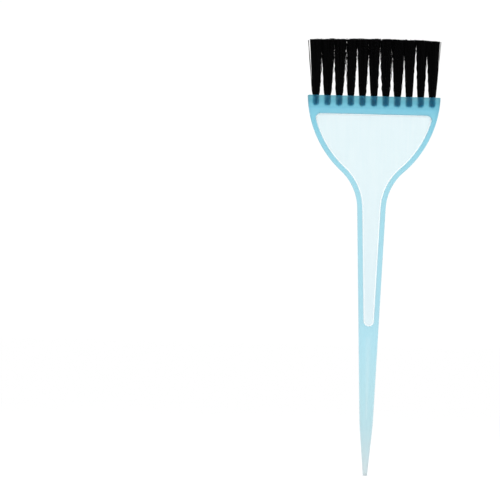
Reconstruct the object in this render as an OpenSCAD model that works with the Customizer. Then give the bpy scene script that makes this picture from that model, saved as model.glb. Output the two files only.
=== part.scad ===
// Wide tint brush. One translucent moulded handle, from a fan-shaped head down to a
// tapered tail, holds two rows of bristle tufts. Each tuft is a bundle of filaments
// folded over a flat wire anchor and driven into a blind hole in the head.
// The tip of the tail is at the origin, +Z runs up the brush to the bristles,
// X is the head's width and Y its thickness. All sizes are in millimetres.

/* [Overall] */
// Height from the tail's tip to the face that the bristles stand in
handle_length = 191.5; // [184:0.5:200]
// Length of bristle outside the head, in the middle of a row
bristle_length = 29; // [20:0.5:35]
// How much shorter the bristles are at the two ends of a row
row_crown = 0.5; // [0:0.1:1.5]

/* [Head] */
// Width across the bristle face
head_w = 67; // [62:1:74]
// Thickness of the head
head_t = 9; // [8.8:0.1:11]
// Height of the solid bar that the tufts are set in
bar_h = 9; // [7:0.1:11]
// Radius of the head's two upper corners
head_corner_r = 0.6; // [0.4:0.1:2]
// Radius of the fan's convex sides
fan_r = 53; // [50:1:58]
// Height of the centres of those sides above the bristle face
fan_rise = 1.5; // [0:0.5:4]
// Radius of the hollow curve from the fan into the shank
neck_r = 26; // [22:1:30]

/* [Shank and tail] */
// Width where the neck runs into the shank
shank_w = 14.3; // [13:0.1:16]
// Thickness at the same place
shank_t = 5.6; // [5:0.1:6.5]
// Height at which the tail starts its last, steeper taper
shoulder_z = 26; // [20:1:32]
// Width at that height
shoulder_w = 6.6; // [6:0.2:7.6]
// Thickness at that height
shoulder_t = 4.2; // [3.6:0.1:4.8]
// Width of the blunt tip
tip_w = 2.3; // [2:0.1:3.2]
// Thickness of the blunt tip
tip_t = 2.3; // [1.8:0.1:3]
// Radius of the tip's corners, seen from the front
tip_r = 0.8; // [0.5:0.1:1]

/* [Panel] */
// Width of the rim left round the sunken panel
rim_w = 2.4; // [2.2:0.1:3.4]
// Thickness of the thin web at the bottom of both panels
web_t = 1.2; // [1:0.1:2]
// Radius of the panel's two upper corners
panel_corner_r = 2.5; // [1:0.1:3]
// Height of the centre of the panel's round foot
panel_foot_z = 78; // [75:1:90]

/* [Tail flute] */
// Height of the flute's upper end
flute_top_z = 70; // [60:1:71]
// Height of its lower end
flute_foot_z = 28; // [26:1:36]
// Width at the upper end
flute_top_w = 3.4; // [2.4:0.1:4]
// Width at the lower end
flute_foot_w = 1.4; // [1:0.1:2]
// Depth below the tail's face
flute_depth = 0.35; // [0.2:0.05:0.5]

/* [Bristle tufts] */
// Tufts in each row
tuft_columns = 11; // [8:1:12]
// From the side of the head to the axis of the first tuft
end_margin = 4.1; // [3.6:0.1:5]
// Distance between the two rows
row_pitch = 4; // [3.8:0.1:4.2]
// Diameter of a tuft hole
hole_d = 3.2; // [3:0.1:3.4]
// Depth of a tuft hole
hole_depth = 5.2; // [4:0.1:6]

/* [Anchors] */
// Length of an anchor, which bites into the plastic in front of its hole and behind it
anchor_w = 3.6; // [3.5:0.1:3.7]
// Thickness of the anchor wire
anchor_t = 0.35; // [0.25:0.05:0.5]
// Height of the anchor wire
anchor_h = 1.5; // [1:0.1:2]
// Thickness of folded bristle between an anchor and the bottom of its hole
fold_t = 1.1; // [0.8:0.1:1.4]

/* [Hidden] */
clearance = 0.02;     // between a tuft or an anchor and the plastic round it
tuft_gap = 0.04;      // between the ends of neighbouring tufts
through = 20;         // more than the thickness of anything that a cut goes through
arc_step = 3;         // degrees of arc to each straight side of an outline
side_steps = 8;       // flats that make up each side's hollow flare
flare_steps = 6;      // cones that make up the flare of a tuft
hole_floor_r = 0.5;   // radius of the flat at the bottom of a hole
hole_floor_h = 1;     // height of the cone round that flat
$fn = 48;

// The fan's side is an arc through the end of the bristle face. The neck is an arc that
// touches it from outside, so the distance between their centres is both radii.
fan_centre = [head_w / 2 - sqrt(fan_r ^ 2 - fan_rise ^ 2), handle_length + fan_rise];
neck_x = shank_w / 2 + neck_r;
neck_z = fan_centre.y - sqrt((fan_r + neck_r) ^ 2 - (neck_x - fan_centre.x) ^ 2);
neck_centre = [neck_x, neck_z];
blend_angle = atan2(fan_centre.y - neck_z, neck_x - fan_centre.x);

// Slope of the shank's two sides
taper_angle = atan2((shank_w - shoulder_w) / 2, neck_z - shoulder_z);
panel_top_z = handle_length - bar_h;
panel_foot_r = shoulder_w / 2 + (panel_foot_z - shoulder_z) * tan(taper_angle) - rim_w;

tuft_pitch = (head_w - 2 * end_margin) / (tuft_columns - 1);
tuft_r = hole_d / 2 - clearance;
tuft_end_r = (tuft_pitch - tuft_gap) / 2;
hole_floor_z = handle_length - hole_depth;
anchor_z = hole_floor_z + fold_t;

ROWS = ["front", "rear"];
function tuft_name(row, column) = str(ROWS[row], "_tuft_", column < 9 ? "0" : "", column + 1);

// ---- Outlines ----

// Points along a round stretch, from angle a0 to angle a1.
function arc(centre, r, a0, a1) =
    let (n = ceil(abs(a1 - a0) / arc_step))
    [for (i = [0:n]) let (a = a0 + (a1 - a0) * i / n) centre + r * [cos(a), sin(a)]];

// A closed outline from its right half, which runs from top to bottom.
function mirrored(right) = concat(
    right,
    [for (i = [len(right) - 1:-1:0]) if (right[i].x > 0.001) [-right[i].x, right[i].y]]
);

// How far below level a corner ends, where the fan's side of radius side_r takes over.
function corner_angle(top_z, r, side_r) = asin((fan_centre.y - top_z + r) / (side_r - r));

// The round corner between a level top edge and the fan's side.
function corner(top_z, r, side_r) =
    let (a = corner_angle(top_z, r, side_r))
    arc([fan_centre.x + (side_r - r) * cos(a), top_z - r], r, 90, -a);

// The fan's side, from the end of its corner down to the neck.
function fan_side(top_z, r, side_r) =
    arc(fan_centre, side_r, -corner_angle(top_z, r, side_r), -blend_angle);

// The handle seen from the front.
function front_outline() = mirrored(concat(
    corner(handle_length, head_corner_r, fan_r),
    fan_side(handle_length, head_corner_r, fan_r),
    arc(neck_centre, neck_r, 180 - blend_angle, 180 - taper_angle),
    [[shoulder_w / 2, shoulder_z]],
    arc([tip_w / 2 - tip_r, tip_r], tip_r, 0, -90)
));

// Half the thickness below the head's bar at height z: straight up the shank, then a
// hollow flare through the fan.
function half_thickness(z) =
    let (share = max(0, (z - neck_z) / (panel_top_z - neck_z)))
    lookup(z, [[shoulder_z, shoulder_t / 2], [neck_z, shank_t / 2]])
        + (head_t - shank_t) / 2 * share ^ 2;

// The handle seen from the side.
function side_outline() = mirrored(concat(
    [[head_t / 2, handle_length]],
    [
        for (i = [side_steps:-1:0])
            let (z = neck_z + (panel_top_z - neck_z) * i / side_steps)
            [half_thickness(z), z]
    ],
    [[shoulder_t / 2, shoulder_z]],
    arc([0, tip_t / 2], tip_t / 2, 0, -90)
));

// The sunken panel, whose sides run parallel to the handle's own.
function panel_outline() = mirrored(concat(
    corner(panel_top_z, panel_corner_r, fan_r - rim_w),
    fan_side(panel_top_z, panel_corner_r, fan_r - rim_w),
    arc(neck_centre, neck_r + rim_w, 180 - blend_angle, 180 - taper_angle),
    arc([0, panel_foot_z], panel_foot_r, -taper_angle, -90)
));

function flute_outline() = mirrored([
    [flute_top_w / 2, flute_top_z],
    [flute_foot_w / 2, flute_foot_z],
]);

// ---- Handle ----

// An outline drawn in X and Z, given thickness along Y and centred on it.
module along_y(points, thickness) {
    rotate([90, 0, 0])
        linear_extrude(thickness, center = true)
            polygon(points);
}

// An outline drawn in Y and Z, given width along X and centred on it.
module along_x(points, width) {
    rotate([90, 0, 90])
        linear_extrude(width, center = true)
            polygon(points);
}

module handle_blank() {
    intersection() {
        along_y(front_outline(), through);
        along_x(side_outline(), head_w + 2);
    }
}

// The pocket that leaves the web in the middle, sunk from one face.
module panel_pocket(side) {
    translate([0, side * (web_t + through) / 2, 0])
        along_y(panel_outline(), through);
}

// A shallow groove that follows the taper of the tail's face.
module tail_flute(side) {
    floor_top = half_thickness(flute_top_z) - flute_depth;
    floor_foot = half_thickness(flute_foot_z) - flute_depth;
    intersection() {
        along_y(flute_outline(), through);
        along_x([
            [side * floor_top, flute_top_z],
            [side * through, flute_top_z],
            [side * through, flute_foot_z],
            [side * floor_foot, flute_foot_z],
        ], 2 * flute_top_w);
    }
}

module tuft_hole() {
    translate([0, 0, hole_floor_z])
        cylinder(h = hole_floor_h, r1 = hole_floor_r, r2 = hole_d / 2);
    translate([0, 0, hole_floor_z + hole_floor_h])
        cylinder(h = hole_depth, r = hole_d / 2);
}

// The wire's ends score this track in the wall of the hole as the tuft is driven in.
module anchor_track() {
    w = anchor_w + 2 * clearance;
    t = anchor_t + 2 * clearance;
    translate([-t / 2, -w / 2, anchor_z - clearance])
        cube([t, w, hole_depth]);
}

// Puts its children at one tuft of one row, 0 for the front row and 1 for the rear.
module at_tuft(row, column) {
    x = (column - (tuft_columns - 1) / 2) * tuft_pitch;
    y = (row - 0.5) * row_pitch;
    translate([x, y, 0])
        children();
}

module handle() {
    color("skyblue", 0.7)
        difference() {
            handle_blank();
            for (side = [-1, 1]) {
                panel_pocket(side);
                tail_flute(side);
            }
            for (row = [0:1], column = [0:tuft_columns - 1])
                at_tuft(row, column) {
                    tuft_hole();
                    anchor_track();
                }
        }
}

// ---- Tufts and anchors ----

// A window for the wire that the filaments are folded round.
module anchor_window() {
    w = anchor_w + 2 * clearance;
    t = anchor_t + 2 * clearance;
    h = anchor_h + 2 * clearance;
    translate([-t / 2, -w / 2, anchor_z - clearance])
        cube([t, w, h]);
}

// Free length of the tufts in a column. The ends of both rows are trimmed shorter.
function trimmed_length(column) =
    bristle_length - row_crown * (2 * column / (tuft_columns - 1) - 1) ^ 2;

// Radius of a tuft at a share of its free length. It opens fastest where it leaves the head.
function flare_r(share) = tuft_r + (tuft_end_r - tuft_r) * (1 - (1 - share) ^ 2);

module tuft_bundle(free_length) {
    folded_z = hole_floor_z + clearance;
    flare = [
        for (i = [0:flare_steps])
            let (share = i / flare_steps)
            [flare_r(share), handle_length + free_length * share]
    ];
    rotate_extrude()
        polygon(concat(
            [
                [0, folded_z],
                [hole_floor_r - clearance, folded_z],
                [tuft_r, folded_z + hole_floor_h],
            ],
            flare,
            [[0, handle_length + free_length]]
        ));
}

// A tuft spreads towards its free end, and stays on its own side of the mid-plane.
module tuft(row, column) {
    away = row == 0 ? 1 : -1;
    color("#101012")
        difference() {
            at_tuft(row, column) {
                difference() {
                    tuft_bundle(trimmed_length(column));
                    anchor_window();
                }
            }
            translate([0, away * (through - tuft_gap) / 2, handle_length + bristle_length / 2])
                cube([2 * head_w, through, 2 * bristle_length], center = true);
        }
}

module anchor() {
    translate([-anchor_t / 2, -anchor_w / 2, anchor_z])
        cube([anchor_t, anchor_w, anchor_h]);
}

module row_anchors(row) {
    color("silver")
        for (column = [0:tuft_columns - 1])
            at_tuft(row, column)
                anchor();
}

// ---- Nodes ----

handle();
for (row = [0:1], column = [0:tuft_columns - 1])
    tuft(row, column);
row_anchors(0);  // front_row_anchors
row_anchors(1);  // rear_row_anchors
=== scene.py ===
"""Looks of a wide tint brush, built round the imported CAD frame.

The handle is one translucent moulding, lofted here with rounded edges, a sunken panel on
both faces, a fluted tail and 22 blind sockets. Every tuft is a bundle of real filaments,
each folded under its wire anchor. Sizes are in millimetres until a mesh is made.
"""

import math

import bmesh
import bpy
import numpy as np
from mathutils import Matrix, Vector
from mathutils.geometry import delaunay_2d_cdt


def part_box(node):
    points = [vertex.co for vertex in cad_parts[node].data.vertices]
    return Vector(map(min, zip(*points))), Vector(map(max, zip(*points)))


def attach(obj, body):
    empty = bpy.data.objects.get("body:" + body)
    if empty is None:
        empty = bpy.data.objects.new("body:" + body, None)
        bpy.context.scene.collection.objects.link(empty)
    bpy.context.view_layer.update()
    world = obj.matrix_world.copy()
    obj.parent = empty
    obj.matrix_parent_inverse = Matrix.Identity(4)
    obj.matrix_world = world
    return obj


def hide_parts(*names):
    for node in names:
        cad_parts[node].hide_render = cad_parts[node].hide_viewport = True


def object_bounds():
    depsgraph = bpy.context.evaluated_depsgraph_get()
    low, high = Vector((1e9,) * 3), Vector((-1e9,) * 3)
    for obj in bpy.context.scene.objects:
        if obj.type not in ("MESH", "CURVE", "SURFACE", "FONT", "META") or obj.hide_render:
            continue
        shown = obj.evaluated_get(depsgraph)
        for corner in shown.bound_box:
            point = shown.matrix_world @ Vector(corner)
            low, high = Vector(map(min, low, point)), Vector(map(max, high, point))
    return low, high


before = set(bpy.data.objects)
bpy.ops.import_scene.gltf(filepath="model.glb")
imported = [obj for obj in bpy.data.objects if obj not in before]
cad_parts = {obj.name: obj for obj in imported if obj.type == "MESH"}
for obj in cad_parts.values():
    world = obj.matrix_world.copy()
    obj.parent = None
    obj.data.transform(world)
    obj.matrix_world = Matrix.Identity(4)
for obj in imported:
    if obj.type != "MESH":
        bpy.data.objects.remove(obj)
cad_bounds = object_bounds()

MM = 0.001


def box_mm(node):
    low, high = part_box(node)
    return low / MM, high / MM


# ---- Sizes that the frame gives ----

HANDLE_LOW, HANDLE_HIGH = box_mm("handle")
LENGTH = HANDLE_HIGH.z
HEAD_T = HANDLE_HIGH.y - HANDLE_LOW.y
BRISTLE_TOP = cad_bounds[1].z / MM
WIRE_LOW, WIRE_HIGH = box_mm("front_row_anchors")
ROW_Y = abs(WIRE_LOW.y + WIRE_HIGH.y) / 2
TUFTS = sorted(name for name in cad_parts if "_tuft_" in name)
END_LOW, END_HIGH = box_mm(TUFTS[0])
ROW_END = -(END_LOW.x + END_HIGH.x) / 2     # from the middle of a row to its last tuft
WIRE_T = WIRE_HIGH.x - WIRE_LOW.x - 2 * ROW_END
ROW_CROWN = BRISTLE_TOP - END_HIGH.z
SOCKET_FLOOR = END_LOW.z

# ---- The handle's own sizes ----

HEAD_W = 67.0           # across the bristle face
HEAD_CORNER_R = 0.6
FAN_R = 53.0
FAN_RISE = 1.5          # how far the centres of the fan's sides are above the bristle face
NECK_R = 26.0
SHANK_W = 14.3
SHANK_T = 5.6
SHOULDER_Z = 26.0
SHOULDER_W = 6.6
SHOULDER_T = 4.2
TIP_W = 2.3
TIP_T = 2.3
TIP_R = 0.8             # round of the tip's corners
BAR_H = 9.0
RIM_W = 2.4
WEB_T = 1.2
PANEL_CORNER_R = 2.5
PANEL_FOOT_Z = 78.0
LIP_R = 0.35            # round over the rim's inner edge
WALL_DRAFT = 0.15       # how far the panel's wall leans in on its way down
FILLET_R = 0.6          # hollow round between that wall and the web
SIDE_DRAFT = 0.07       # how far the outer side leans in on its way up from the parting line
PARTING_RIDGE = 0.035   # height and half width of the fine line where the mould halves met
FLUTE_TOP_Z = 70.5
FLUTE_FOOT_Z = 27.0
FLUTE_TOP_W = 3.4
FLUTE_FOOT_W = 1.4
FLUTE_DEPTH = 0.35
SOCKET_R = 1.6
SOCKET_MOUTH = 0.12     # chamfer round the mouth of a socket
SOCKET_FLOOR_TURNS = (20, 40, 60, 80)   # degrees round the curve from its wall to its floor
TRACK_LENGTH = 1.82     # from a socket's axis to the end of the track that the wire scored

FAN_CENTRE = Vector((HEAD_W / 2 - math.sqrt(FAN_R ** 2 - FAN_RISE ** 2), LENGTH + FAN_RISE))
NECK_X = SHANK_W / 2 + NECK_R
NECK_Z = FAN_CENTRE.y - math.sqrt((FAN_R + NECK_R) ** 2 - (NECK_X - FAN_CENTRE.x) ** 2)
NECK_CENTRE = Vector((NECK_X, NECK_Z))
BLEND = math.degrees(math.atan2(FAN_CENTRE.y - NECK_Z, NECK_X - FAN_CENTRE.x))
TAPER = math.degrees(math.atan2((SHANK_W - SHOULDER_W) / 2, NECK_Z - SHOULDER_Z))
SIDE_SLOPE = math.tan(math.radians(TAPER))
PANEL_TOP = LENGTH - BAR_H
FOOT_R = SHOULDER_W / 2 + (PANEL_FOOT_Z - SHOULDER_Z) * SIDE_SLOPE - RIM_W
FOOT_CENTRE = Vector((0, PANEL_FOOT_Z))
TIP_CENTRE = Vector((0, 1.3))

# Thickness and half width along the handle, as (height, value) pairs. Both faces have a
# hollow flare through the fan.
SIDE_STEPS = 8
HALF_THICKNESS = [(TIP_R, TIP_T / 2), (SHOULDER_Z, SHOULDER_T / 2)] + [
    (
        NECK_Z + (PANEL_TOP - NECK_Z) * i / SIDE_STEPS,
        (SHANK_T + (HEAD_T - SHANK_T) * (i / SIDE_STEPS) ** 2) / 2,
    )
    for i in range(SIDE_STEPS + 1)
]
TAIL_HALF_WIDTH = [
    (TIP_R, TIP_W / 2),
    (SHOULDER_Z, SHOULDER_W / 2),
    (NECK_Z, SHOULDER_W / 2 + (NECK_Z - SHOULDER_Z) * SIDE_SLOPE),
]
EDGE_ROUND = [(TIP_R, 0.9), (SHOULDER_Z, 1.15), (PANEL_FOOT_Z, 1.0), (NECK_Z, 0.8), (LENGTH, 0.5)]
MOST_EDGE_ROUND = 0.86  # the largest that round may be, as a share of half the thickness
FLUTE_FOOT_RUN = 5.0    # heights over which the flute deepens at its two ends
FLUTE_TOP_RUN = 1.6
FLUTE_SIDES = (1.25, 0.75)  # where its side starts, and how wide it is, in half widths

# Steps along each stretch of the outline, and across each strip of the surface.
TOP_STEPS, CORNER_STEPS, FAN_STEPS, NECK_STEPS = 18, 8, 26, 16
SHANK_STEPS, FOOT_STEPS, TAIL_STEPS, TIP_STEPS = 18, 9, 34, 7
FACE_COLUMNS, ROUND_STEPS, WALL_STEPS = 9, 5, 3
LIP_STEPS, FILLET_STEPS = 3, 6      # of 30 and of 15 degrees
SOCKET_SIDES = 24
CDT_WITH_HOLES = 2      # delaunay_2d_cdt: triangles inside the outline and outside its holes
CDT_PRECISION = 1e-5
WELD_DISTANCE = 0.002   # points of neighbouring patches that are closer than this are one
SHARP_EDGE = 38         # degrees between two faces above which their edge stays sharp
FACE_WEIGHT = 80        # of the weighted normals


# ---- Small helpers ----

def lerp(a, b, share):
    return a + (b - a) * share


def smooth(share):
    share = min(max(share, 0.0), 1.0)
    return share * share * (3 - 2 * share)


def along(table, z):
    """Value at height z in a table of (height, value), held level past both ends."""
    return float(np.interp(z, *zip(*table)))


def eased(table, z, reach=3.0, samples=4):
    """along(), with its corners rounded by averaging over reach on both sides of z."""
    reach = min(reach, max(z - TIP_R, 0.0))
    places = range(-samples, samples + 1)
    return sum(along(table, z + reach * i / samples) for i in places) / len(places)


def towards(degrees):
    return Vector((math.cos(math.radians(degrees)), math.sin(math.radians(degrees))))


def line_of(start, end, normal, steps):
    """(point, outward normal) pairs along a straight stretch."""
    return [(start.lerp(end, i / steps), normal) for i in range(steps + 1)]


def arc_of(centre, radius, a0, a1, steps, hollow=False):
    """(point, outward normal) pairs along a round stretch, which may be a hollow one."""
    side = -1 if hollow else 1
    turns = [towards(lerp(a0, a1, i / steps)) for i in range(steps + 1)]
    return [(centre + radius * turn, side * turn) for turn in turns]


# ---- Outlines of the handle and of its panel, as half outlines in X and Z ----

def upper_outline(top_z, corner_r, inset):
    """Right half of a contour that runs inset inside the handle's edge: level across the
    top, round the corner, down the fan, the neck and the shank to the panel's foot."""
    side_r = FAN_R - inset
    corner_a = math.degrees(math.asin((FAN_CENTRE.y - top_z + corner_r) / (side_r - corner_r)))
    corner_x = FAN_CENTRE.x + (side_r - corner_r) * math.cos(math.radians(corner_a))
    side_normal = towards(-TAPER)
    neck = arc_of(NECK_CENTRE, NECK_R + inset, 180 - BLEND, 180 - TAPER, NECK_STEPS, True)
    shank_end = FOOT_CENTRE + (FOOT_R + RIM_W - inset) * side_normal
    stretches = [
        line_of(Vector((0, top_z)), Vector((corner_x, top_z)), Vector((0, 1)), TOP_STEPS),
        arc_of(Vector((corner_x, top_z - corner_r)), corner_r, 90, -corner_a, CORNER_STEPS),
        arc_of(FAN_CENTRE, side_r, -corner_a, -BLEND, FAN_STEPS),
        neck,
        line_of(neck[-1][0], shank_end, side_normal, SHANK_STEPS),
    ]
    return stretches[0] + [pair for stretch in stretches[1:] for pair in stretch[1:]]


def tail_edge(z):
    """(point, outward normal) of the tail's side at height z."""
    step = 0.2
    slope = (eased(TAIL_HALF_WIDTH, z + step) - eased(TAIL_HALF_WIDTH, z - step)) / (2 * step)
    return Vector((eased(TAIL_HALF_WIDTH, z), z)), Vector((1, -slope)).normalized()


def stations():
    """The spokes that the surface is lofted along: (outer point, its outward normal, inner
    point, its outward normal). The inner point is on the panel's contour. Below the panel
    it is on the centreline, and has no normal."""
    outer = upper_outline(LENGTH, HEAD_CORNER_R, 0)
    inner = upper_outline(PANEL_TOP, PANEL_CORNER_R, RIM_W)
    foot = arc_of(FOOT_CENTRE, FOOT_R, -TAPER, -90, FOOT_STEPS)[1:]
    inner += foot
    outer += [tail_edge(point.y) for point, _ in foot]
    spokes = [(*o, *i) for o, i in zip(outer, inner)]
    tail_top = foot[-1][0].y
    for i in range(1, TAIL_STEPS + 1):
        z = lerp(tail_top, TIP_CENTRE.y, i / TAIL_STEPS)
        spokes.append((*tail_edge(z), Vector((0, z)), None))
    corner = arc_of(Vector((TIP_W / 2 - TIP_R, TIP_R)), TIP_R, 0, -90, TIP_STEPS)
    for point, normal in corner + [(Vector((0, 0)), Vector((0, -1)))]:
        spokes.append((point, normal, TIP_CENTRE, None))
    return spokes


# ---- The handle's surface ----

def flute(x, z):
    """Depth of the shallow groove down the tail's face."""
    share = (z - FLUTE_FOOT_Z) / (FLUTE_TOP_Z - FLUTE_FOOT_Z)
    half = lerp(FLUTE_FOOT_W, FLUTE_TOP_W, min(max(share, 0.0), 1.0)) / 2
    foot = smooth((z - FLUTE_FOOT_Z) / FLUTE_FOOT_RUN)
    top = smooth((FLUTE_TOP_Z - z) / FLUTE_TOP_RUN)
    start, width = FLUTE_SIDES
    return FLUTE_DEPTH * (foot * top) * smooth((start - abs(x) / half) / width)


def thickness_at(z):
    """Half the handle's thickness at height z."""
    return eased(HALF_THICKNESS, z)


def edge_round(z):
    return min(eased(EDGE_ROUND, z), MOST_EDGE_ROUND * thickness_at(z))


def on_face(point):
    return Vector((point.x, thickness_at(point.y) - flute(point.x, point.y), point.y))


def face_row(outer, outward, inner, inner_normal):
    """Across the flat of the rim, bar or tail, from its inner edge to its outer one."""
    start = inner if inner_normal is None else inner + LIP_R * inner_normal
    end = outer - edge_round(outer.y) * outward
    return [on_face(start.lerp(end, i / FACE_COLUMNS)) for i in range(FACE_COLUMNS + 1)]


def edge_row(outer, outward, *_):
    """Over the rounded outer edge, down to where the side wall starts."""
    size = edge_round(outer.y)
    half = thickness_at(outer.y)
    draft = SIDE_DRAFT * abs(outward.x)
    row = [on_face(outer - size * outward)]
    for i in range(1, ROUND_STEPS + 1):
        turn = math.radians(90 * i / ROUND_STEPS)
        inset = lerp(size, draft, math.sin(turn))
        point = outer - inset * outward
        row.append(Vector((point.x, half - size * (1 - math.cos(turn)), point.y)))
    return row


def wall_row(outer, outward, *_):
    """Down the side wall to the parting line's ridge."""
    top = thickness_at(outer.y) - edge_round(outer.y)
    share = abs(outward.x)
    row = []
    for i in range(WALL_STEPS + 1):
        y = lerp(top, 2 * PARTING_RIDGE, i / WALL_STEPS)
        point = outer - SIDE_DRAFT * share * (y / top) * outward
        row.append(Vector((point.x, y, point.y)))
    for y in (PARTING_RIDGE, 0.0):
        point = outer + PARTING_RIDGE * share * outward
        row.append(Vector((point.x, y, point.y)))
    return row


def pocket_row(outer, outward, inner, inner_normal):
    """Over the lip, down the panel's wall and round the fillet on to the web."""
    half = thickness_at(inner.y)
    web = WEB_T / 2
    profile = []
    for i in range(LIP_STEPS + 1):
        turn = math.radians(90 / LIP_STEPS * i)
        profile.append((-LIP_R * (1 - math.sin(turn)), half - LIP_R * (1 - math.cos(turn))))
    for i in range(FILLET_STEPS + 1):
        turn = math.radians(90 / FILLET_STEPS * i)
        profile.append((
            WALL_DRAFT + FILLET_R * (1 - math.cos(turn)),
            web + FILLET_R * (1 - math.sin(turn)),
        ))
    points = [(inner - inward * inner_normal, y) for inward, y in profile]
    row = [Vector((point.x, y, point.y)) for point, y in points]
    row[0] = on_face(inner + LIP_R * inner_normal)
    return row


def web_rows(spokes):
    """The flat web: level rows, each with as many columns as the panel's top edge."""
    inset = WALL_DRAFT + FILLET_R
    rim = [inner - inset * normal for _, _, inner, normal in spokes if normal is not None]
    rows = []
    for point in rim[TOP_STEPS:]:
        columns = [point.x * i / TOP_STEPS for i in range(TOP_STEPS + 1)]
        rows.append([Vector((x, WEB_T / 2, point.y)) for x in columns])
    return rows


def add_grid(verts, faces, rows):
    first = len(verts)
    columns = len(rows[0])
    verts.extend(v for row in rows for v in row)
    for i in range(len(rows) - 1):
        for j in range(columns - 1):
            a = first + i * columns + j
            faces.append((a, a + 1, a + columns + 1, a + columns))


def quarter(spokes):
    """A quarter of the handle, without the bristle face: x and y are both positive."""
    verts, faces = [], []
    panelled = [s for s in spokes if s[3] is not None]
    add_grid(verts, faces, [face_row(*s) for s in spokes])
    add_grid(verts, faces, [edge_row(*s) for s in spokes])
    add_grid(verts, faces, [wall_row(*s) for s in spokes[TOP_STEPS:]])
    add_grid(verts, faces, [pocket_row(*s) for s in panelled])
    add_grid(verts, faces, web_rows(spokes))
    return verts, faces


def socket_circle(radius):
    """Points round a socket's axis, from just past its rear track to just before it."""
    return [radius * towards(90 + (i + 0.5) * 360 / SOCKET_SIDES) for i in range(SOCKET_SIDES)]


def socket_loop(grow=0.0):
    """Outline of a socket and its two wire tracks, as points about the socket's axis."""
    half_track = SOCKET_R * math.sin(math.radians(180 / SOCKET_SIDES)) + grow / 2
    end = TRACK_LENGTH + grow
    circle = socket_circle(SOCKET_R + grow)
    front_track = [Vector((-half_track, -end)), Vector((half_track, -end))]
    rear_track = [Vector((half_track, end)), Vector((-half_track, end))]
    half = SOCKET_SIDES // 2
    return circle[:half] + front_track + circle[half:] + rear_track


def socket_axes():
    boxes = [box_mm(name) for name in TUFTS]
    side = [(-1 if name.startswith("front") else 1) for name in TUFTS]
    return [Vector(((low.x + high.x) / 2, s * ROW_Y)) for (low, high), s in zip(boxes, side)]


def add_socket(verts, faces, axis):
    """Chamfered mouth, walls with the wire's tracks, and a rounded floor."""
    def place(loop, z):
        first = len(verts)
        verts.extend(Vector((axis.x + p.x, axis.y + p.y, z)) for p in loop)
        return list(range(first, first + len(loop)))

    def wall(upper, lower):
        for i in range(len(upper)):
            j = (i + 1) % len(upper)
            faces.append((upper[i], upper[j], lower[j], lower[i]))

    half = SOCKET_SIDES // 2
    mouth = place(socket_loop(SOCKET_MOUTH), LENGTH)
    neck = place(socket_loop(), LENGTH - SOCKET_MOUTH)
    track_floor = place(socket_loop(), WIRE_LOW.z)
    wall(mouth, neck)
    wall(neck, track_floor)
    tracks = [track_floor[half - 1:half + 3], track_floor[-3:] + track_floor[:1]]
    faces.extend(tuple(track) for track in tracks)
    ring = track_floor[:half] + track_floor[half + 2:-2]
    for degrees in SOCKET_FLOOR_TURNS:
        turn = math.radians(degrees)
        circle = socket_circle(SOCKET_R * math.cos(turn))
        lower = place(circle, lerp(WIRE_LOW.z, SOCKET_FLOOR, math.sin(turn)))
        wall(ring, lower)
        ring = lower
    faces.append(tuple(ring))


def add_bristle_face(verts, faces, spokes):
    """The flat end of the head, with an opening for every socket."""
    edge = [edge_row(*s)[-1] for s in spokes[:TOP_STEPS + 1]]
    end = wall_row(*spokes[TOP_STEPS])[1:]
    right = [Vector((v.x, v.y)) for v in edge + end]
    back = [Vector((-v.x, v.y)) for v in reversed(right[1:])] + right
    loops = [back + [Vector((v.x, -v.y)) for v in reversed(back[1:-1])]]
    loops += [[axis + p for p in socket_loop(SOCKET_MOUTH)] for axis in socket_axes()]
    points, outlines = [], []
    for loop in loops:
        outlines.append(list(range(len(points), len(points) + len(loop))))
        points.extend(loop)
    flat, _, triangles, *_ = delaunay_2d_cdt(
        points, [], outlines, CDT_WITH_HOLES, CDT_PRECISION
    )
    first = len(verts)
    verts.extend(Vector((p.x, p.y, LENGTH)) for p in flat)
    faces.extend(tuple(first + i for i in triangle) for triangle in triangles)


def mesh_object(name, verts, faces, materials, body="root"):
    """A new piece of the object, from millimetres, riding on a CAD body."""
    mesh = bpy.data.meshes.new(name)
    mesh.from_pydata([tuple(c * MM for c in v) for v in verts], [], faces)
    for material in materials:
        mesh.materials.append(material)
    piece = bpy.data.objects.new(name, mesh)
    bpy.context.scene.collection.objects.link(piece)
    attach(piece, body)
    return piece


def weld(mesh, distance):
    """Joins the patches of a mesh where they meet, and faces every side outwards."""
    bm = bmesh.new()
    bm.from_mesh(mesh)
    bmesh.ops.remove_doubles(bm, verts=bm.verts, dist=distance)
    bmesh.ops.dissolve_degenerate(bm, dist=distance / 10, edges=bm.edges)
    bmesh.ops.recalc_face_normals(bm, faces=bm.faces)
    bm.to_mesh(mesh)
    bm.free()


def finish_of(face, axes):
    """Slot of the material that a face of the handle takes: 0 plain, 1 the wall of a socket,
    2 the hollow round along the panel's edge, which carries a painted highlight."""
    centre = face.center / MM
    if SOCKET_FLOOR < centre.z < LENGTH - SOCKET_MOUTH:
        reach = TRACK_LENGTH + 0.02
        return int(any((centre.xy - axis).length < reach for axis in axes))
    in_panel = PANEL_FOOT_Z - FOOT_R < centre.z < PANEL_TOP
    least_turn = 0.25
    turned = abs(face.normal.y) > least_turn
    on_round = WEB_T / 2 < abs(centre.y) < WEB_T / 2 + FILLET_R and turned
    return 2 if in_panel and on_round else 0


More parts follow.
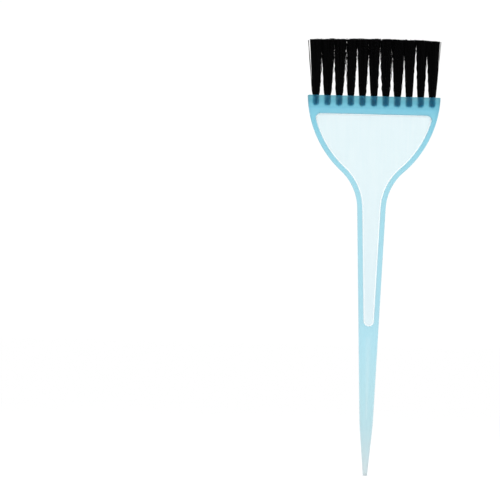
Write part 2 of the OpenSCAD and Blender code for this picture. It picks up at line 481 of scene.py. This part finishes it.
def build_handle(plastic, socket, highlight_round):
    spokes = stations()
    part_verts, part_faces = quarter(spokes)
    verts, faces = [], []
    for sx, sy in ((1, 1), (-1, 1), (1, -1), (-1, -1)):
        first = len(verts)
        verts.extend(Vector((v.x * sx, v.y * sy, v.z)) for v in part_verts)
        faces.extend(tuple(first + i for i in face) for face in part_faces)
    add_bristle_face(verts, faces, spokes)
    for axis in socket_axes():
        add_socket(verts, faces, axis)
    handle = mesh_object("moulded_handle", verts, faces, [plastic, socket, highlight_round])
    weld(handle.data, WELD_DISTANCE * MM)
    axes = socket_axes()
    for face in handle.data.polygons:
        face.material_index = finish_of(face, axes)
    handle.data.polygons.foreach_set("use_smooth", [True] * len(handle.data.polygons))
    handle.data.set_sharp_from_angle(angle=math.radians(SHARP_EDGE))
    weighted = handle.modifiers.new("weighted_normals", "WEIGHTED_NORMAL")
    weighted.keep_sharp = True
    weighted.weight = FACE_WEIGHT
    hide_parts("handle")


# ---- Bristle ----

FILAMENT_R = 0.09
FILAMENT_PITCH = 0.185
SITE_ROWS = 8
BUNDLE_R = SOCKET_R - FILAMENT_R - 0.01       # from a tuft's axis to its outermost filaments
WIRE_GAP = WIRE_T / 2 + FILAMENT_R + 0.02     # from the wire's middle to the nearest filament
ROW_INSET = 0.05        # how far the outermost line of filaments is inside the bundle's edge
FOLD_DROOP = 0.42       # how far a fold hangs below the wire, as a share of its width
FIRST_SEED = 400
BRISTLE_SHARP_EDGE = 70
TUBE_SIDES = 6
# Shares of its free length at which a filament's path is bent, closest where it opens fastest.
CALM_SHARES = np.linspace(0, 1, 11) ** 1.8
LOOSE_SHARES = np.linspace(0, 1, 36) ** 1.3

# How far the free end of each pair of tufts leans along X, and how full it is for its place.
LEAN = (-0.4, -0.15, 0.1, 0.0, -0.2, -0.4, -0.35, 0.1, 0.0, -0.1, -0.2)
FULLNESS = (1.08, 1.12, 1.02, 0.93, 1.04, 0.94, 1.09, 1.06, 0.99, 0.92, 1.07)
SPLAY = 1.12        # how far the tips spread along a row, as a share of their own place
# Filaments that have come loose on the left and on the right of each front tuft.
LOOSE = ((3, 4), (4, 2), (2, 6), (6, 1), (1, 2), (2, 3), (3, 4), (3, 2), (2, 1), (4, 2), (3, 3))
REAR_FULLNESS = 0.96
REAR_LOOSE = (1, 1)
LOOSEST = 12            # outermost filaments of a tuft, which the loose ones are picked from

# How a filament opens out: mostly in step with its height, and partly at once as it leaves
# the socket, where it opens as this power of what is left of its length.
OPENS_AT_ONCE = 0.14
OPENING_POWER = 40
CLUMPS = 9
CLUMP_LEAN = 0.2        # spread of the clumps' tips, and of the filaments' within a clump
TIP_SCATTER = 0.1
TRIM_SCATTER = 0.11
CLUMP_TRIM = 1.8        # how much lower a clump is cut, as a share of its lean across the row
CLUMP_RISE = 0.15       # how much higher than the tuft's top the least leaning clump stands
TRIM_SLANT = 0.17       # how much higher the right end of a row is cut, and lower the left
# Least and most side to side movement, and turns of it along the free length.
CRIMPED_WAVE, CRIMPED_TURNS = (0.12, 0.36), (4.5, 6.5)
CALM_WAVE, CALM_TURNS = (0.02, 0.07), (1.2, 2.6)
CRIMP_ONSET = 6         # the crimp is full from the lowest sixth of the free length up
# Least and most that a loose filament stands off. Inside a row the most grows with their number.
ROW_END_REACH = (0.5, 1.4)
LEAST_REACH, MOST_REACH, REACH_EACH = 0.15, 0.3, 0.13


def wire_sites():
    """Places for the right-hand leg of each filament beside the wire, close packed."""
    sites = []
    for row in range(SITE_ROWS):
        x = lerp(WIRE_GAP, BUNDLE_R - ROW_INSET, row / (SITE_ROWS - 1))
        shift = FILAMENT_PITCH / 2 * (row % 2)
        count = int(BUNDLE_R / FILAMENT_PITCH) + 1
        for column in range(-count, count + 1):
            y = column * FILAMENT_PITCH + shift
            if math.hypot(x, y) < BUNDLE_R:
                sites.append((x, y))
    return np.array(sites)


def mouth_sites(sites):
    """The same legs at the mouth of the socket, where they have closed up over the wire."""
    x, y = sites.T
    side = np.sqrt(BUNDLE_R ** 2 - y ** 2)
    return np.stack([x - (WIRE_GAP - FILAMENT_R) * (side - x) / (side - WIRE_GAP), y], axis=1)


def leg_paths(rng, roots, axis, spread, lean, stand_off, share):
    """Free lengths of filaments from their roots at the bristle face: (filament, share, xyz).
    A loose one stands off from the side of the tuft, and is crimped unless it is outside
    the row's last tuft."""
    count = len(roots)
    outside = (roots[:, 0] * axis.x > 0) & (abs(axis.x) > ROW_END - 1)
    at_once = 1 - (1 - share) ** OPENING_POWER
    opening = (1 - OPENS_AT_ONCE) * share + OPENS_AT_ONCE * at_once
    seeds = rng.uniform(-SOCKET_R, SOCKET_R, (CLUMPS, 2))
    clump = np.argmin(((roots[:, None] - seeds[None]) ** 2).sum(2), axis=1)
    clump_lean = rng.normal(0, CLUMP_LEAN, (CLUMPS, 2))
    scatter = rng.normal(0, TIP_SCATTER, (count, 2))
    tips = roots * spread + lean + clump_lean[clump] + scatter
    tips[:, 0] += np.sign(roots[:, 0]) * stand_off
    crimped = ((stand_off > 0) & ~outside)[:, None]
    size = (count, 2)
    wave = np.where(crimped, rng.uniform(*CRIMPED_WAVE, size), rng.uniform(*CALM_WAVE, size))
    turns = np.where(crimped, rng.uniform(*CRIMPED_TURNS, size), rng.uniform(*CALM_TURNS, size))
    phase = rng.uniform(0, 2 * math.pi, (count, 2))
    crimp = wave[:, None] * np.sin(
        phase[:, None] + turns[:, None] * 2 * math.pi * share[None, :, None]
    ) * np.minimum(share[None, :, None] * CRIMP_ONSET, 1)
    flat = roots[:, None] + (tips - roots)[:, None] * opening[None, :, None] + crimp
    across = (axis.x + flat[:, -1, 0]) / ROW_END
    # The brush is cut nearly level. The ends of a row and clumps that lean further are lower.
    trim = np.abs(rng.normal(0, TRIM_SCATTER, count)) + ROW_CROWN * across ** 2
    trim += CLUMP_TRIM * np.abs(clump_lean[clump, 1]) - CLUMP_RISE - TRIM_SLANT * across
    heights = LENGTH + (BRISTLE_TOP - trim - LENGTH)[:, None] * share[None]
    return np.concatenate([flat, heights[:, :, None]], axis=2)


def tuft_paths(rng, sites, axis, spread, lean, stand_off, share):
    """Centre lines of folded filaments about their tuft's axis, from one tip to the other."""
    roots = mouth_sites(sites)
    left = leg_paths(rng, roots * (-1, 1), axis, spread, lean, stand_off[0], share)
    right = leg_paths(rng, roots, axis, spread, lean, stand_off[1], share)
    x, y = sites.T
    beside_wire = np.full(len(sites), WIRE_HIGH.z)
    fold = [np.stack([-x, y, beside_wire], axis=1)]
    for degrees in (0, 45, 90, 135, 180):
        turn = math.radians(degrees)
        z = WIRE_LOW.z - (FILAMENT_R + FOLD_DROOP * x) * math.sin(turn)
        fold.append(np.stack([-x * math.cos(turn), y, z], axis=1))
    fold.append(np.stack([x, y, beside_wire], axis=1))
    return np.concatenate([left[:, ::-1], np.stack(fold, axis=1), right], axis=1)


def tube_mesh(paths, radius):
    """Vertices and faces of closed round tubes along paths: (tube, step, xyz)."""
    tangent = np.gradient(paths, axis=1)
    tangent /= np.linalg.norm(tangent, axis=2, keepdims=True)
    across = np.array([0.0, 1.0, 0.0]) - tangent[:, :, 1:2] * tangent
    across /= np.linalg.norm(across, axis=2, keepdims=True)
    up = np.cross(tangent, across)
    turn = np.arange(TUBE_SIDES) * 2 * math.pi / TUBE_SIDES
    ring = np.cos(turn)[:, None] * across[:, :, None] + np.sin(turn)[:, None] * up[:, :, None]
    verts = (paths[:, :, None] + radius * ring).reshape(-1, 3)
    index = np.arange(len(verts)).reshape(paths.shape[0], paths.shape[1], TUBE_SIDES)
    start, end = index[:, :-1], index[:, 1:]
    sides = np.stack([start, np.roll(start, -1, 2), np.roll(end, -1, 2), end], axis=3)
    faces = sides.reshape(-1, 4).tolist() + index[:, 0, ::-1].tolist() + index[:, -1].tolist()
    return verts, faces


def loosened(rng, sites, axis, sides):
    """How far each filament's left and right leg stands off from its tuft. Where more have
    come loose, they stand off further."""
    outermost = np.argsort(-sites[:, 0])[:LOOSEST]
    chosen = rng.choice(outermost, sum(sides), replace=False)
    stand_off = np.zeros((2, len(sites)))
    for leg, picked in enumerate((chosen[:sides[0]], chosen[sides[0]:])):
        at_row_end = abs(axis.x) > ROW_END - 1 and (axis.x > 0) == (leg == 1)
        in_row_reach = (LEAST_REACH, MOST_REACH + REACH_EACH * len(picked))
        reach = ROW_END_REACH if at_row_end else in_row_reach
        stand_off[leg, picked] = rng.uniform(*reach, len(picked))
    return stand_off


def build_tuft(name, axis, seed, bristle):
    rng = np.random.default_rng(seed)
    low, high = box_mm(name)
    column = int(name[-2:]) - 1
    is_front = name.startswith("front")
    fullness = FULLNESS[column] * (1 if is_front else REAR_FULLNESS)
    spread = (high.x - low.x) / 2 / SOCKET_R * np.array([SPLAY * fullness, 1.0])
    lean = np.array([LEAN[column] + rng.normal(0, 0.04), rng.normal(0, 0.1)])
    sites = wire_sites()
    stand_off = loosened(rng, sites, axis, LOOSE[column] if is_front else REAR_LOOSE)
    is_loose = stand_off.any(axis=0)
    verts, faces = [], []
    for chosen, share in ((~is_loose, CALM_SHARES), (is_loose, LOOSE_SHARES)):
        paths = tuft_paths(rng, sites[chosen], axis, spread, lean, stand_off[:, chosen], share)
        paths += (axis.x, axis.y, 0)
        tube_verts, tube_faces = tube_mesh(paths, FILAMENT_R)
        faces += [[i + len(verts) for i in face] for face in tube_faces]
        verts += tube_verts.tolist()
    piece = mesh_object(name + "_filaments", verts, faces, [bristle])
    piece.data.polygons.foreach_set("use_smooth", [True] * len(piece.data.polygons))
    piece.data.set_sharp_from_angle(angle=math.radians(BRISTLE_SHARP_EDGE))
    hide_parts(name)


# ---- Materials ----

PLASTIC_IOR = 1.49
TINT = (0.25, 0.755, 0.87, 1)
TINT_DENSITY = 200.0        # how fast the tint deepens with thickness
GRAIN_DEPTH = 0.00001       # of the bump, in metres
MIX_LOW, MIX_HIGH = 6, 7    # a Mix node's colour inputs, and its colour output
MIX_RESULT = 2


def new_material(name):
    material = bpy.data.materials.new(name)
    material.use_nodes = True
    return material, material.node_tree.nodes, material.node_tree.links


def object_noise(nodes, links, scale, detail=2.0):
    """A noise texture in the object's own metres; scale is in repeats a metre."""
    place = nodes.new("ShaderNodeTexCoord")
    noise = nodes.new("ShaderNodeTexNoise")
    noise.inputs["Scale"].default_value = scale
    noise.inputs["Detail"].default_value = detail
    links.new(place.outputs["Object"], noise.inputs["Vector"])
    return noise.outputs["Fac"]


def ranged(nodes, links, source, low, high):
    """A value that runs from low to high as source runs over its usual middle range."""
    spread = nodes.new("ShaderNodeMapRange")
    spread.inputs["From Min"].default_value = 0.3
    spread.inputs["From Max"].default_value = 0.7
    spread.inputs["To Min"].default_value = low
    spread.inputs["To Max"].default_value = high
    links.new(source, spread.inputs["Value"])
    return spread.outputs["Result"]


def bumped(nodes, links, height, distance, strength=1.0):
    bump = nodes.new("ShaderNodeBump")
    bump.inputs["Distance"].default_value = distance
    bump.inputs["Strength"].default_value = strength
    links.new(height, bump.inputs["Height"])
    return bump.outputs["Normal"]


def mixed(nodes, links, share, low, high):
    """A colour that runs from low to high with share, where either may be another socket."""
    mix = nodes.new("ShaderNodeMix")
    mix.data_type = "RGBA"
    links.new(share, mix.inputs[0])
    for socket, colour in ((mix.inputs[MIX_LOW], low), (mix.inputs[MIX_HIGH], high)):
        if isinstance(colour, tuple):
            socket.default_value = (*colour, 1)
        else:
            links.new(colour, socket)
    return mix.outputs[MIX_RESULT]


def by_height(nodes, links, stops):
    """A colour that runs smoothly through (height in millimetres, colour) stops."""
    place = nodes.new("ShaderNodeTexCoord")
    split = nodes.new("ShaderNodeSeparateXYZ")
    links.new(place.outputs["Object"], split.inputs[0])
    share = nodes.new("ShaderNodeMath")
    share.operation = "DIVIDE"
    share.inputs[1].default_value = LENGTH * MM
    links.new(split.outputs["Z"], share.inputs[0])
    ramp = nodes.new("ShaderNodeValToRGB")
    elements = ramp.color_ramp.elements
    for height, colour in stops[1:-1]:
        elements.new(height / LENGTH).color = (*colour, 1)
    elements[0].position, elements[0].color = stops[0][0] / LENGTH, (*stops[0][1], 1)
    elements[-1].position, elements[-1].color = stops[-1][0] / LENGTH, (*stops[-1][1], 1)
    links.new(share.outputs[0], ramp.inputs[0])
    return ramp.outputs["Color"]


def drawn_out(nodes, links, scale, stretch):
    """Noise that is stretched along the handle, like the flow of plastic in its mould."""
    place = nodes.new("ShaderNodeTexCoord")
    squeeze = nodes.new("ShaderNodeMapping")
    squeeze.inputs["Scale"].default_value = (1, 1, 1 / stretch)
    links.new(place.outputs["Object"], squeeze.inputs["Vector"])
    noise = nodes.new("ShaderNodeTexNoise")
    noise.inputs["Scale"].default_value = scale
    links.new(squeeze.outputs["Vector"], noise.inputs["Vector"])
    return noise.outputs["Fac"]


# Share of light that the plastic lets through where it is thin. It carries painted shade:
# darker and greyer towards the tip, and darker across the head where the black roots shade it.
CLARITY_WITH_PAINTED_SHADE = [
    (4.0, (0.91, 0.83, 0.81)),
    (23.0, (0.97, 0.91, 0.89)),
    (42.0, (0.985, 0.965, 0.95)),
    (66.0, (0.98, 0.99, 1.0)),
    (84.0, (0.95, 0.97, 0.985)),
    (150.0, (0.985, 1.0, 1.0)),
    (182.0, (0.985, 1.0, 1.0)),
    (183.5, (0.95, 0.96, 0.965)),
    (184.7, (0.90, 0.96, 0.99)),
    (185.5, (0.72, 0.85, 0.88)),
    (186.5, (0.77, 0.90, 0.915)),
    (187.2, (0.71, 0.865, 0.88)),
    (188.1, (0.585, 0.765, 0.78)),
    (188.8, (0.49, 0.685, 0.70)),
    (189.8, (0.59, 0.725, 0.72)),
    (190.7, (0.665, 0.745, 0.72)),
]


def give_depth(nodes, links):
    """The tint of the plastic, which deepens with its thickness."""
    depth = nodes.new("ShaderNodeVolumeAbsorption")
    depth.inputs["Color"].default_value = TINT
    depth.inputs["Density"].default_value = TINT_DENSITY
    links.new(depth.outputs["Volume"], nodes["Material Output"].inputs["Volume"])


def plastic_material():
    """Translucent moulded plastic. Its tint is in its depth, so thin places are paler."""
    material, nodes, links = new_material("cyan_translucent_plastic")
    shader = nodes["Principled BSDF"]
    shader.inputs["Transmission Weight"].default_value = 1.0
    shader.inputs["IOR"].default_value = PLASTIC_IOR
    shader.inputs["Specular Tint"].default_value = (0.35, 0.35, 0.35, 1)
    # Base colour by height, with painted shade towards the tip and between the sockets.
    clarity_with_shade = by_height(nodes, links, CLARITY_WITH_PAINTED_SHADE)
    flow = ranged(nodes, links, drawn_out(nodes, links, 900.0, 14.0), 0.0, 1.0)
    streak = nodes.new("ShaderNodeMix")
    streak.data_type = "RGBA"
    streak.blend_type = "MULTIPLY"
    streak.inputs[MIX_HIGH].default_value = (0.94, 0.965, 0.975, 1)
    links.new(flow, streak.inputs[0])
    links.new(clarity_with_shade, streak.inputs[MIX_LOW])
    links.new(streak.outputs[MIX_RESULT], shader.inputs["Base Color"])
    cloud = object_noise(nodes, links, 120.0)
    links.new(ranged(nodes, links, cloud, 0.36, 0.44), shader.inputs["Roughness"])
    grain = object_noise(nodes, links, 2600.0, 3.0)
    links.new(bumped(nodes, links, grain, GRAIN_DEPTH), shader.inputs["Normal"])
    give_depth(nodes, links)
    return material


def panel_round_highlight_material():
    """The same plastic in the hollow round along the panel's edge, near-white and mostly opaque:
    a painted highlight that shows as a fine white line."""
    material, nodes, links = new_material("panel_round_painted_highlight")
    shader = nodes["Principled BSDF"]
    shader.inputs["Transmission Weight"].default_value = 0.1
    shader.inputs["IOR"].default_value = PLASTIC_IOR
    cloud = object_noise(nodes, links, 700.0)
    # Near-white colour: the painted highlight along the hollow round.
    shade = mixed(nodes, links, cloud, (0.96, 1.0, 1.0), (1.0, 1.0, 1.0))
    links.new(shade, shader.inputs["Base Color"])
    links.new(ranged(nodes, links, cloud, 0.3, 0.4), shader.inputs["Roughness"])
    give_depth(nodes, links)
    return material


def bristle_material():
    """Black nylon. Each filament is a little more or less shiny than the next."""
    material, nodes, links = new_material("black_nylon_filament")
    shader = nodes["Principled BSDF"]
    shader.inputs["Specular IOR Level"].default_value = 0.035
    island = nodes.new("ShaderNodeNewGeometry").outputs["Random Per Island"]
    shade = mixed(nodes, links, island, (0.0004, 0.0004, 0.0005), (0.0025, 0.0025, 0.003))
    links.new(shade, shader.inputs["Base Color"])
    links.new(ranged(nodes, links, island, 0.30, 0.45), shader.inputs["Roughness"])
    return material


def socket_material():
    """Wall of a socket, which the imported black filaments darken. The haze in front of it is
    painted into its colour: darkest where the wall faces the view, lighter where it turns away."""
    material, nodes, links = new_material("packed_socket_wall")
    shader = nodes["Principled BSDF"]
    shader.inputs["Specular IOR Level"].default_value = 0.0
    weight = nodes.new("ShaderNodeLayerWeight")
    weight.inputs["Blend"].default_value = 0.5
    facing = weight.outputs["Facing"]
    # Painted haze: dark navy where the wall faces the view, pale blue towards its grazing edge.
    shade = mixed(nodes, links, facing, (0.0, 0.172, 0.305), (0.25, 0.73, 0.88))
    links.new(shade, shader.inputs["Base Color"])
    grain = object_noise(nodes, links, 4000.0, 2.0)
    links.new(ranged(nodes, links, grain, 0.5, 0.8), shader.inputs["Roughness"])
    return material


def wire_material():
    """Flat galvanised wire, faintly drawn along its length."""
    material, nodes, links = new_material("drawn_galvanised_wire")
    shader = nodes["Principled BSDF"]
    shader.inputs["Metallic"].default_value = 1.0
    drawn = object_noise(nodes, links, 1500.0, 4.0)
    shade = mixed(nodes, links, drawn, (0.52, 0.53, 0.54), (0.72, 0.73, 0.74))
    links.new(shade, shader.inputs["Base Color"])
    links.new(ranged(nodes, links, drawn, 0.22, 0.38), shader.inputs["Roughness"])
    links.new(bumped(nodes, links, drawn, GRAIN_DEPTH, 0.5), shader.inputs["Normal"])
    return material


def floor_material():
    """White studio sweep. It fades into the backdrop away from the brush."""
    material, nodes, links = new_material("white_sweep")
    shader = nodes["Principled BSDF"]
    shader.inputs["Base Color"].default_value = (0.95, 0.95, 0.95, 1)
    shader.inputs["Specular IOR Level"].default_value = 0.0
    cloud = object_noise(nodes, links, 8.0)
    links.new(ranged(nodes, links, cloud, 0.85, 1.0), shader.inputs["Roughness"])
    glow = nodes.new("ShaderNodeEmission")
    place = nodes.new("ShaderNodeTexCoord")
    distance = nodes.new("ShaderNodeVectorMath")
    distance.operation = "LENGTH"
    links.new(place.outputs["Object"], distance.inputs[0])
    fade = nodes.new("ShaderNodeMapRange")
    fade.interpolation_type = "SMOOTHSTEP"
    fade.inputs["From Min"].default_value = 0.15
    fade.inputs["From Max"].default_value = 0.9
    links.new(distance.outputs["Value"], fade.inputs["Value"])
    mix = nodes.new("ShaderNodeMixShader")
    links.new(fade.outputs["Result"], mix.inputs[0])
    links.new(shader.outputs["BSDF"], mix.inputs[1])
    links.new(glow.outputs["Emission"], mix.inputs[2])
    links.new(mix.outputs["Shader"], nodes["Material Output"].inputs["Surface"])
    return material


# ---- Studio ----

FLOOR_REACH = 3.0           # metres from its middle to its edge
WORLD_STRENGTH = 1.03
BRUSH_MIDDLE = (0, 0, 0.11)     # where the lights are aimed, in metres


def build_floor():
    size = FLOOR_REACH
    mesh = bpy.data.meshes.new("studio_floor")
    corners = [(-size, -size, 0), (size, -size, 0), (size, size, 0), (-size, size, 0)]
    mesh.from_pydata(corners, [], [(0, 1, 2, 3)])
    mesh.materials.append(floor_material())
    floor = bpy.data.objects.new("studio_floor", mesh)
    bpy.context.scene.collection.objects.link(floor)


def build_world():
    world = bpy.data.worlds.new("white_studio")
    world.use_nodes = True
    world.node_tree.nodes["Background"].inputs["Color"].default_value = (1, 1, 1, 1)
    world.node_tree.nodes["Background"].inputs["Strength"].default_value = WORLD_STRENGTH
    bpy.context.scene.world = world


def area_light(name, location, target, size, watts):
    light = bpy.data.lights.new(name, "AREA")
    light.size = size
    light.energy = watts
    lamp = bpy.data.objects.new(name, light)
    lamp.location = location
    aim = Vector(target) - Vector(location)
    lamp.rotation_euler = aim.to_track_quat("-Z", "Y").to_euler()
    bpy.context.scene.collection.objects.link(lamp)
    return lamp


CAMERA_LENS = 300.0        # a long lens, so that the brush is seen square on
VIEW_WIDTH = 252.5         # what the picture's width takes in at the brush
VIEW_ROLL = 1.4            # degrees that the brush leans to the right in the picture
TIP_IN_VIEW = (58.0, -113.9)  # where the tail's tip is, from the middle of the picture


def build_camera():
    camera = bpy.data.cameras.new("photo_camera")
    camera.lens = CAMERA_LENS
    camera.clip_end = 20.0
    roll = math.radians(VIEW_ROLL)
    right = Vector((math.cos(roll), 0, math.sin(roll)))
    up = Vector((-math.sin(roll), 0, math.cos(roll)))
    back = Vector((0, -1, 0))
    distance = VIEW_WIDTH * CAMERA_LENS / camera.sensor_width
    place = (-TIP_IN_VIEW[0] * right - TIP_IN_VIEW[1] * up + distance * back) * MM
    rig = bpy.data.objects.new("photo_camera", camera)
    rig.matrix_world = Matrix.Translation(place) @ Matrix((right, up, back)).transposed().to_4x4()
    bpy.context.scene.collection.objects.link(rig)
    bpy.context.scene.camera = rig


def main():
    build_handle(plastic_material(), socket_material(), panel_round_highlight_material())
    bristle = bristle_material()
    for number, (name, axis) in enumerate(zip(TUFTS, socket_axes())):
        build_tuft(name, axis, FIRST_SEED + number, bristle)
    wire = wire_material()
    for name in ("front_row_anchors", "rear_row_anchors"):
        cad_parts[name].material_slots[0].material = wire
    build_floor()
    build_world()
    area_light("key_softbox", (-0.5, -0.8, 0.7), BRUSH_MIDDLE, size=0.6, watts=3.0)
    area_light("fill_softbox", (0.7, -0.5, 0.5), BRUSH_MIDDLE, size=0.6, watts=1.2)
    build_camera()
    bpy.context.scene.view_settings.view_transform = "Standard"


main()
